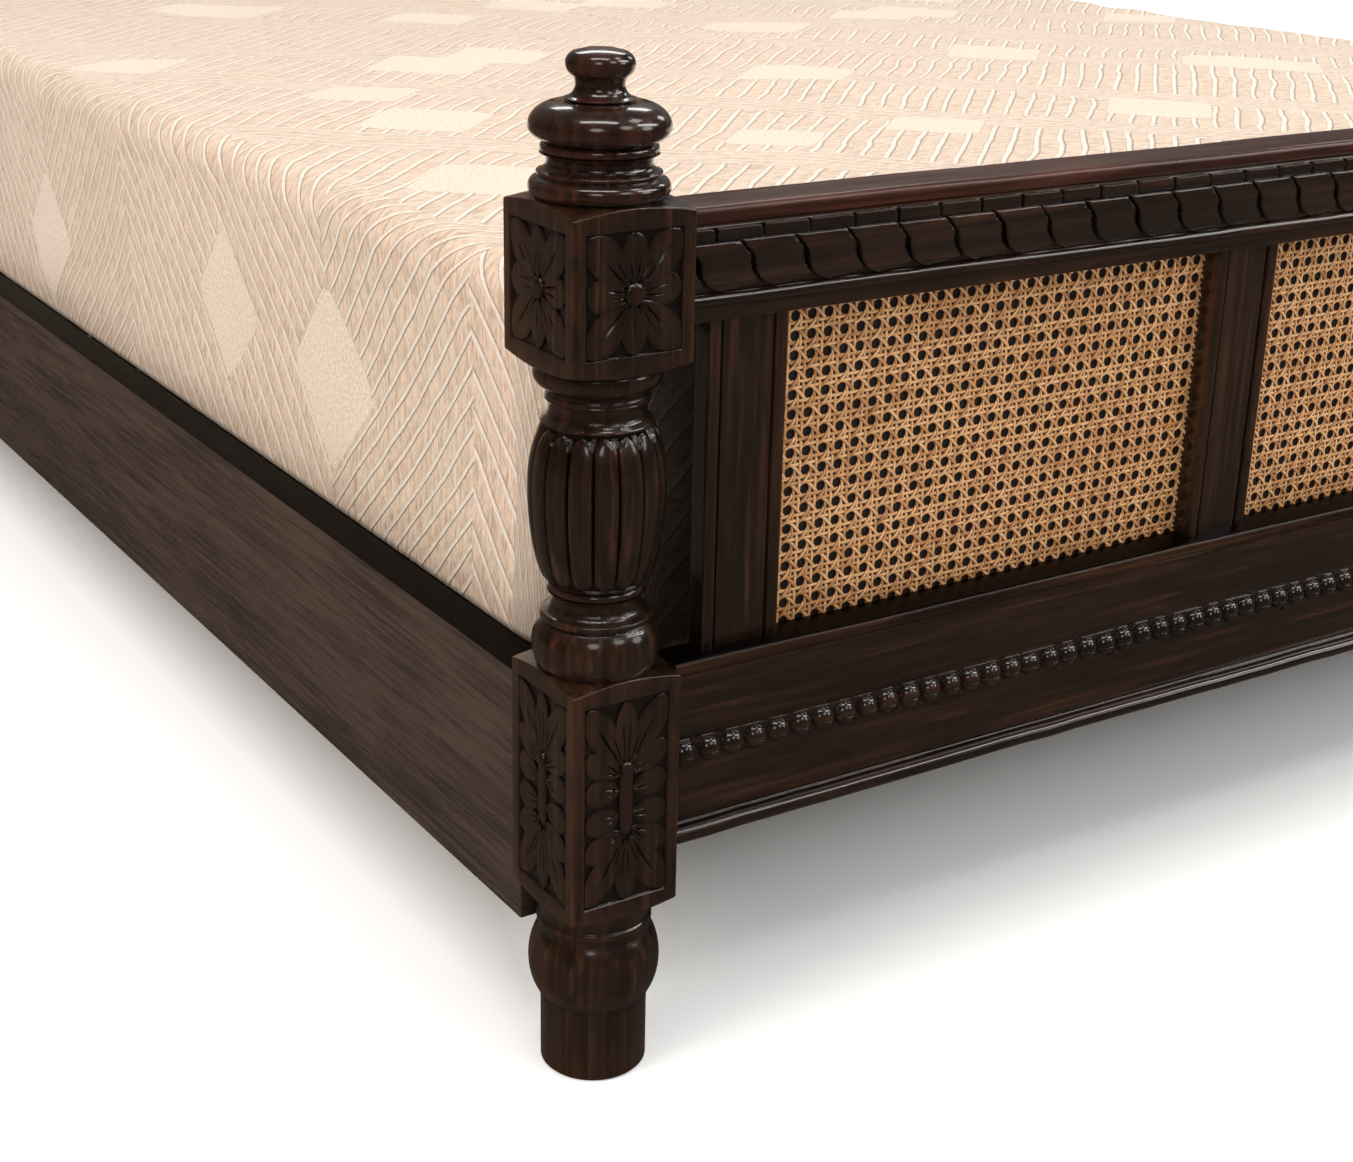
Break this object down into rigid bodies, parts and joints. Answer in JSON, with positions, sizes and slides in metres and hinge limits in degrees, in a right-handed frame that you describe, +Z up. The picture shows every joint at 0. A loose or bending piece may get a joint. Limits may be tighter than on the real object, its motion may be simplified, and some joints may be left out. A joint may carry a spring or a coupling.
{
  "type": "wooden bed",
  "caption": "Wooden bed with turned and reeded posts, carved blocks, caned head and foot boards, plain side rails, slats and a mattress.",
  "frame": {"origin": "on the floor, under the middle of the bed", "axes": "+Y towards the head of the bed, along its length; +X across the bed, to the right when it is seen from the foot; +Z up"},
  "size_m": [1.6219, 2.216, 1.1503],
  "materials": {
    "carved_wood": "espresso lacquer, glossy, rubbed through to red-brown on the edges",
    "rail_wood": "open-grained grey-brown stain, satin",
    "cane": "natural cane webbing, golden tan, satin",
    "dark_panel": "dark stain, matt",
    "pine": "pine, stained dark, matt",
    "steel": "zinc plated",
    "rubber_pad": "matt black",
    "ticking": "beige jacquard ticking with raised cream lines"
  },
  "bodies": {
    "bed_frame": {"post_foot_left": "carved_wood", "post_foot_right": "carved_wood", "post_head_left": "carved_wood", "post_head_right": "carved_wood", "finial_foot_left": "carved_wood", "finial_foot_right": "carved_wood", "finial_head_left": "carved_wood", "finial_head_right": "carved_wood", "foot_cap": "carved_wood", "foot_frieze": "carved_wood", "foot_bead": "carved_wood", "foot_top_rail": "carved_wood", "foot_ledge": "carved_wood", "foot_bottom_rail": "carved_wood", "foot_pearls": "carved_wood", "foot_base_moulding": "carved_wood", "foot_end_stile_left": "carved_wood", "foot_end_stile_right": "carved_wood", "foot_mid_stile_left": "carved_wood", "foot_mid_stile_right": "carved_wood", "foot_cane_left": "cane", "foot_cane_centre": "cane", "foot_cane_right": "cane", "foot_backing_left": "dark_panel", "foot_backing_centre": "dark_panel", "foot_backing_right": "dark_panel", "head_cap": "carved_wood", "head_frieze": "carved_wood", "head_bead": "carved_wood", "head_top_rail": "carved_wood", "head_ledge": "carved_wood", "head_mid_rail": "carved_wood", "head_pearls": "carved_wood", "head_base_moulding": "carved_wood", "head_bottom_rail": "carved_wood", "head_end_stile_left": "carved_wood", "head_end_stile_right": "carved_wood", "head_mid_stile_left": "carved_wood", "head_mid_stile_right": "carved_wood", "head_cane_left": "cane", "head_cane_centre": "cane", "head_cane_right": "cane", "head_backing_left": "dark_panel", "head_backing_centre": "dark_panel", "head_backing_right": "dark_panel", "side_rail_left": "rail_wood", "side_rail_right": "rail_wood", "ledger_left": "pine", "ledger_right": "pine", "slats": "pine", "slat_screws": "steel", "centre_beam": "pine", "beam_hangers": "steel", "centre_legs": "pine", "leg_pads": "rubber_pad", "rail_hooks": "steel", "catch_plates": "steel"},
    "mattress": {"mattress": "ticking"}
  },
  "joints": [
    {"name": "mattress_lift", "type": "slide", "parent": "bed_frame", "child": "mattress", "axis": [0, 0, 1], "range_m": [0, 0.45]}
  ]
}
